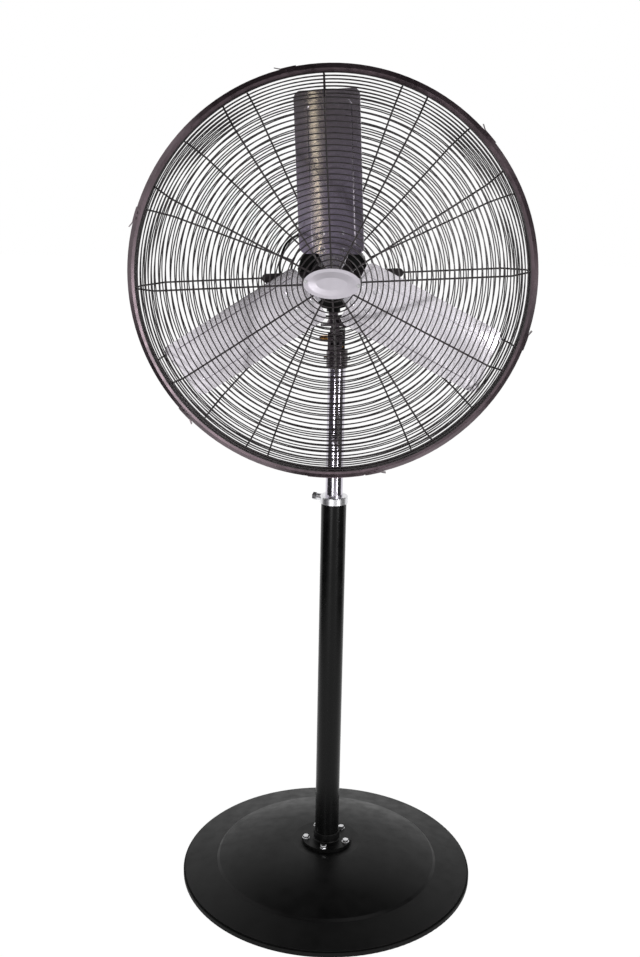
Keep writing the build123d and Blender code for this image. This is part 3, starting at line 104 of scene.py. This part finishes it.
class Paint:
    """A node material with one Principled shader and small helpers for its textures."""

    def __init__(self, name, colour, metallic, roughness):
        self.material = bpy.data.materials.new(name)
        self.material.use_nodes = True
        self.tree = self.material.node_tree
        self.shader = self.tree.nodes["Principled BSDF"]
        self.colour = colour
        self.roughness = roughness
        self.tune({"Base Color": (*colour, 1), "Metallic": metallic, "Roughness": roughness})
        self.coordinates = self.tree.nodes.new("ShaderNodeTexCoord").outputs["Object"]

    def tune(self, values):
        """Set uniform values on the shader's own sockets."""
        set_inputs(self.shader, values)

    def link(self, output, target):
        self.tree.links.new(output, target)

    def mapping(self, scale, rotation):
        node = add_node(self.tree, "ShaderNodeMapping", {"Scale": scale, "Rotation": rotation})
        self.link(self.coordinates, node.inputs["Vector"])
        return node.outputs["Vector"]

    def noise(self, scale, detail=4, vector=None):
        node = add_node(self.tree, "ShaderNodeTexNoise", {"Scale": scale, "Detail": detail})
        self.link(vector or self.coordinates, node.inputs["Vector"])
        return node.outputs["Fac"]

    def ramp(self, value, stops):
        node = self.tree.nodes.new("ShaderNodeValToRGB")
        elements = node.color_ramp.elements
        while len(elements) < len(stops):
            elements.new(1)
        for element, (place, colour) in zip(elements, stops):
            element.position = place
            element.color = (*colour, 1)
        self.link(value, node.inputs["Fac"])
        return node.outputs["Color"]

    def vary_colour(self, value, darker, lighter):
        """Colour drifts between a darker and a lighter share of its own value."""
        low = tuple(channel * darker for channel in self.colour)
        high = tuple(channel * lighter for channel in self.colour)
        drift = self.ramp(value, [(noise_low, low), (noise_high, high)])
        self.link(drift, self.shader.inputs["Base Color"])

    def vary_roughness(self, value, smoother, rougher):
        """Roughness drifts between a lower and a higher share of its own value."""
        drift = add_node(self.tree, "ShaderNodeMapRange", {
            "From Min": noise_low,
            "From Max": noise_high,
            "To Min": self.roughness * smoother,
            "To Max": self.roughness * rougher,
        })
        self.link(value, drift.inputs["Value"])
        self.link(drift.outputs["Result"], self.shader.inputs["Roughness"])

    def bump(self, value, strength, distance=fine_relief):
        node = add_node(self.tree, "ShaderNodeBump", {"Strength": strength, "Distance": distance})
        self.link(value, node.inputs["Height"])
        self.link(node.outputs["Normal"], self.shader.inputs["Normal"])


def powder_coat(name, colour, roughness, peel, shine):
    """Sprayed and baked paint: fine orange peel with slight drifts in gloss."""
    paint = Paint(name, colour, metallic=0, roughness=roughness)
    paint.tune({"Specular IOR Level": shine})
    paint.vary_colour(paint.noise(scale=9), darker=0.8, lighter=1.25)
    paint.vary_roughness(paint.noise(scale=35), smoother=0.85, rougher=1.2)
    paint.bump(paint.noise(scale=900, detail=2), strength=peel)
    return paint.material


def wire_enamel(name, colour, roughness, metallic=0.35):
    """Dipped enamel on wire: glossy, with slow thick and thin places."""
    paint = Paint(name, colour, metallic, roughness)
    paint.tune({"Coat Weight": 0.25, "Coat Roughness": 0.2})
    paint.vary_colour(paint.noise(scale=14), darker=0.7, lighter=1.35)
    paint.vary_roughness(paint.noise(scale=60), smoother=0.8, rougher=1.3)
    paint.bump(paint.noise(scale=420, detail=2), strength=0.15)
    return paint.material


def metal(name, colour, roughness, streak=(1, 1, 1), turn=0, scale=300, relief=0.06):
    """Bare metal whose grain is drawn out along the axis with the small streak scale.

    The turn takes another cut of the texture and leaves the grain's direction alone.
    """
    paint = Paint(name, colour, metallic=1, roughness=roughness)
    grain = paint.noise(scale, detail=6, vector=paint.mapping(streak, rotation=(0, turn, 0)))
    paint.vary_colour(paint.noise(scale=12), darker=0.85, lighter=1.1)
    paint.vary_roughness(grain, smoother=0.85, rougher=1.2)
    paint.bump(grain, strength=relief)
    return paint.material


def plastic(name, colour, roughness, shine=0.5):
    """Moulded plastic with a fine spark-eroded texture."""
    paint = Paint(name, colour, metallic=0, roughness=roughness)
    paint.tune({"Specular IOR Level": shine})
    paint.vary_colour(paint.noise(scale=40), darker=0.85, lighter=1.2)
    paint.vary_roughness(paint.noise(scale=120), smoother=0.9, rougher=1.1)
    paint.bump(paint.noise(scale=1500, detail=3), strength=0.2, distance=0.0001)
    return paint.material


def cast_iron(name, colour):
    """Dull casting with a coarse skin."""
    paint = Paint(name, colour, metallic=0.2, roughness=0.6)
    paint.vary_colour(paint.noise(scale=80), darker=0.6, lighter=1.4)
    paint.bump(paint.noise(scale=500, detail=6), strength=0.6, distance=0.0006)
    return paint.material


def winding_wire(name, colour):
    """Varnished wire in turns round the core."""
    paint = Paint(name, colour, metallic=0.8, roughness=0.35)
    wave = add_node(paint.tree, "ShaderNodeTexWave", {"Scale": 160, "Distortion": 2})
    wave.wave_type = "RINGS"
    wave.rings_direction = "Y"
    paint.link(paint.coordinates, wave.inputs["Vector"])
    paint.bump(wave.outputs["Fac"], strength=0.5, distance=0.0005)
    return paint.material


def dress(material, *names):
    """Give these nodes of the model one material."""
    for name in names:
        for slot in nodes[name].material_slots:
            slot.material = material


# Base and column
near_black = (0.003, 0.003, 0.003)
dress(powder_coat("black_powder_coat", near_black, roughness=0.38, peel=0.12, shine=0.16),
      "base_cover", "column_flange", "motor_shell", "motor_front_bell", "motor_rear_bell")
dress(powder_coat("column_gloss_black", near_black, roughness=0.26, peel=0.08, shine=0.16),
      "column_tube")
dress(cast_iron("ballast_iron", (0.03, 0.03, 0.03)),
      "base_ballast")
dress(plastic("rubber", (0.004, 0.004, 0.004), roughness=0.6, shine=0.12),
      "base_edge_trim", "motor_lead")
dress(plastic("natural_nylon", (0.70, 0.68, 0.62), roughness=0.45),
      "column_bushing", "mast_end_guide")
dress(metal("collar_silver", (0.80, 0.80, 0.82), roughness=0.30),
      "clamp_collar")

# Mast, swivel and switch box
dress(metal("mast_chrome", (0.62, 0.59, 0.66), roughness=0.12, streak=(1, 1, 0.03), scale=220,
            relief=0.02),
      "mast_tube")
dress(wire_enamel("bracket_enamel", (0.085, 0.068, 0.080), roughness=0.26, metallic=0.7),
      "swivel_sleeve", "tilt_clevis", "tilt_bracket")
dress(metal("bright_zinc", (0.62, 0.62, 0.63), roughness=0.25),
      "flange_washers", "flange_bolts", "clamp_screw", "swivel_set_screws", "tilt_bolt",
      "box_screws", "bell_screws", "badge_studs", "strap_screws", "hub_set_screw")
dress(metal("brass", (0.86, 0.45, 0.13), roughness=0.22),
      "tilt_wing_nut", "earth_screw")
dress(plastic("black_plastic", (0.012, 0.012, 0.012), roughness=0.45),
      "switch_box", "switch_box_cover", "rotary_switch", "capacitor", "speed_knob",
      "cable_gland", "lead_glands")

# Motor, apart from its painted shell and bells
dress(metal("ground_steel", (0.45, 0.45, 0.46), roughness=0.3),
      "stator_core", "bearing_outer_races", "bearing_inner_races", "bearing_balls",
      "motor_shaft", "rotor_core")
dress(winding_wire("winding_wire", (0.55, 0.22, 0.08)),
      "stator_windings")

# Guards
dress(wire_enamel("guard_enamel", (0.022, 0.016, 0.018), roughness=0.34),
      "front_face_rings", "front_side_rings", "front_ribs", "rear_face_rings",
      "rear_side_rings", "rear_ribs", "guard_centre_disc", "guard_mount_strap")
dress(wire_enamel("hoop_enamel", (0.125, 0.092, 0.106), roughness=0.30, metallic=0.8),
      "rim_hoop", "hoop_joint_strap", "guard_clips", "clip_screws")
dress(metal("badge_silver", (0.55, 0.52, 0.57), roughness=0.42, streak=(1, 1, 12)),
      "badge_plate")

# Rotor, where each blade has a cut of the grain of its own
dress(metal("spider_zinc", (0.62, 0.60, 0.65), roughness=0.28),
      "hub_spider")
for number in range(blade_count):
    blade_metal = metal(f"blade_aluminium_{number + 1}", (0.90, 0.86, 0.92), roughness=0.12,
                        streak=(1, 1, 0.05), scale=60, relief=0.001,
                        turn=radians(first_blade_turn + blade_spacing * number))
    dress(blade_metal, f"fan_blade_{number + 1}")
dress(metal("rivet_aluminium", (0.80, 0.78, 0.82), roughness=0.22),
      "blade_rivets")


def seen_or_mirrored(tree):
    """One for rays from the camera, from a mirror or through glass, and nought for light."""
    path = tree.nodes.new("ShaderNodeLightPath")
    either = path.outputs["Is Camera Ray"]
    for ray in ("Is Glossy Ray", "Is Transmission Ray"):
        larger = tree.nodes.new("ShaderNodeMath")
        larger.operation = "MAXIMUM"
        tree.links.new(either, larger.inputs[0])
        tree.links.new(path.outputs[ray], larger.inputs[1])
        either = larger.outputs["Value"]
    return either


def add_floor():
    """Pale floor that the camera and the metal see as white, with next to no shadow."""
    bpy.ops.mesh.primitive_plane_add(size=floor_size)
    floor = bpy.context.object
    floor.name = "floor"
    paint = Paint("pale_floor", (0.80, 0.80, 0.80), metallic=0, roughness=0.9)
    paint.vary_colour(paint.noise(scale=3), darker=0.99, lighter=1.01)
    tree = paint.tree
    glow = add_node(tree, "ShaderNodeEmission", {"Color": (*white, 1), "Strength": floor_glow})
    share = add_node(tree, "ShaderNodeMath", {1: floor_shown_share})
    share.operation = "MULTIPLY"
    mixed = tree.nodes.new("ShaderNodeMixShader")
    paint.link(seen_or_mirrored(tree), share.inputs[0])
    paint.link(share.outputs["Value"], mixed.inputs["Fac"])
    paint.link(paint.shader.outputs["BSDF"], mixed.inputs[1])
    paint.link(glow.outputs["Emission"], mixed.inputs[2])
    paint.link(mixed.outputs["Shader"], tree.nodes["Material Output"].inputs["Surface"])
    floor.data.materials.append(paint.material)


def add_world():
    """White to the camera and in mirrors, a gentler level as light."""
    world = bpy.data.worlds.new("studio")
    bpy.context.scene.world = world
    world.use_nodes = True
    tree = world.node_tree
    background = tree.nodes["Background"]
    set_inputs(background, {"Color": (*white, 1)})
    levels = {"To Min": world_light_level, "To Max": world_shown_level}
    level = add_node(tree, "ShaderNodeMapRange", levels)
    tree.links.new(seen_or_mirrored(tree), level.inputs["Value"])
    tree.links.new(level.outputs["Result"], background.inputs["Strength"])


def aim(item, place, target, axis):
    """Put a light or card in its place, with this axis of its own towards the target."""
    item.location = place
    direction = Vector(target) - Vector(place)
    item.rotation_euler = direction.to_track_quat(axis, "Y").to_euler()


def add_softbox(name, place, target, size, power, tint=white):
    data = bpy.data.lights.new(name, "AREA")
    data.shape = "RECTANGLE"
    data.size, data.size_y = size
    data.energy = power
    data.color = tint
    light = bpy.data.objects.new(name, data)
    bpy.context.scene.collection.objects.link(light)
    aim(light, place, target, "-Z")


def fade_cloth(cloth):
    """Lavender grey at the card's foot, darker and warmer towards its top."""
    split = cloth.tree.nodes.new("ShaderNodeSeparateXYZ")
    limits = {"From Min": fade_foot, "From Max": fade_top}
    height = add_node(cloth.tree, "ShaderNodeMapRange", limits)
    cloth.link(cloth.coordinates, split.inputs["Vector"])
    cloth.link(split.outputs["Y"], height.inputs["Value"])
    shade = cloth.ramp(height.outputs["Result"], fade_shades)
    cloth.link(shade, cloth.shader.inputs["Base Color"])


def add_flag(name, place, target, size, faded=False):
    """Dark card that the metal mirrors and that holds light back, unseen by the camera."""
    bpy.ops.mesh.primitive_plane_add(size=1)
    card = bpy.context.object
    card.name = name
    card.scale = (*size, 1)
    aim(card, place, target, "Z")
    card.visible_camera = False
    cloth = Paint(name + "_cloth", (0.02, 0.02, 0.02), metallic=0, roughness=0.9)
    if faded:
        fade_cloth(cloth)
    card.data.materials.append(cloth.material)


def add_level_flag(name, x, y, height, aim_height, size):
    """Card that lies flat and faces straight up or down."""
    add_flag(name, (x, y, height), (x, y, aim_height), size)


add_camera()
add_floor()
add_world()

# Softboxes, in metres and watts
add_softbox("key_left", place=(-1.2, -3.4, 0.35), target=fan_middle, size=(0.6, 1.0), power=34)
add_softbox("key_right", place=(2.2, -2.8, 2.2), target=fan_middle, size=(0.7, 1.4), power=30)
add_softbox("low_right", place=(2.2, -2.6, 0.35), target=fan_middle, size=(0.4, 0.8), power=16)
add_softbox("window_strip", place=(-2.45, -2.36, 1.6), target=head, size=(0.045, 1.5), power=0.6,
            tint=(1, 0.90, 0.60))

# Cards that stand round the fan, hang over it and lie on the floor before it, in metres
add_flag("flag_left", place=(-2.95, -2.3, 1.5), target=head, size=(3.4, 2.6), faded=True)
add_flag("flag_behind_camera", place=(0, -6.0, 2.3), target=(0, 0, 2.3), size=(6.0, 2.0))
add_level_flag("flag_above", 0.4, 0.6, ceiling_card_height, ceiling_card_aim, size=(5.0, 3.2))
add_level_flag("flag_above_front", -0.9, -2.0, ceiling_card_height, ceiling_card_aim,
               size=(3.0, 2.0))
add_flag("flag_right", place=(2.9, 0.4, 2.2), target=head, size=(2.6, 1.6))
for name, x, y, size in [("flag_floor_middle", 0.7, -5.4, (2.6, 4.4)),
                         ("flag_floor_left", -4.2, -1.1, (5.6, 3.8)),
                         ("flag_floor_right", 4.2, -1.1, (5.6, 3.8))]:
    add_level_flag(name, x, y, floor_card_height, floor_card_aim, size)
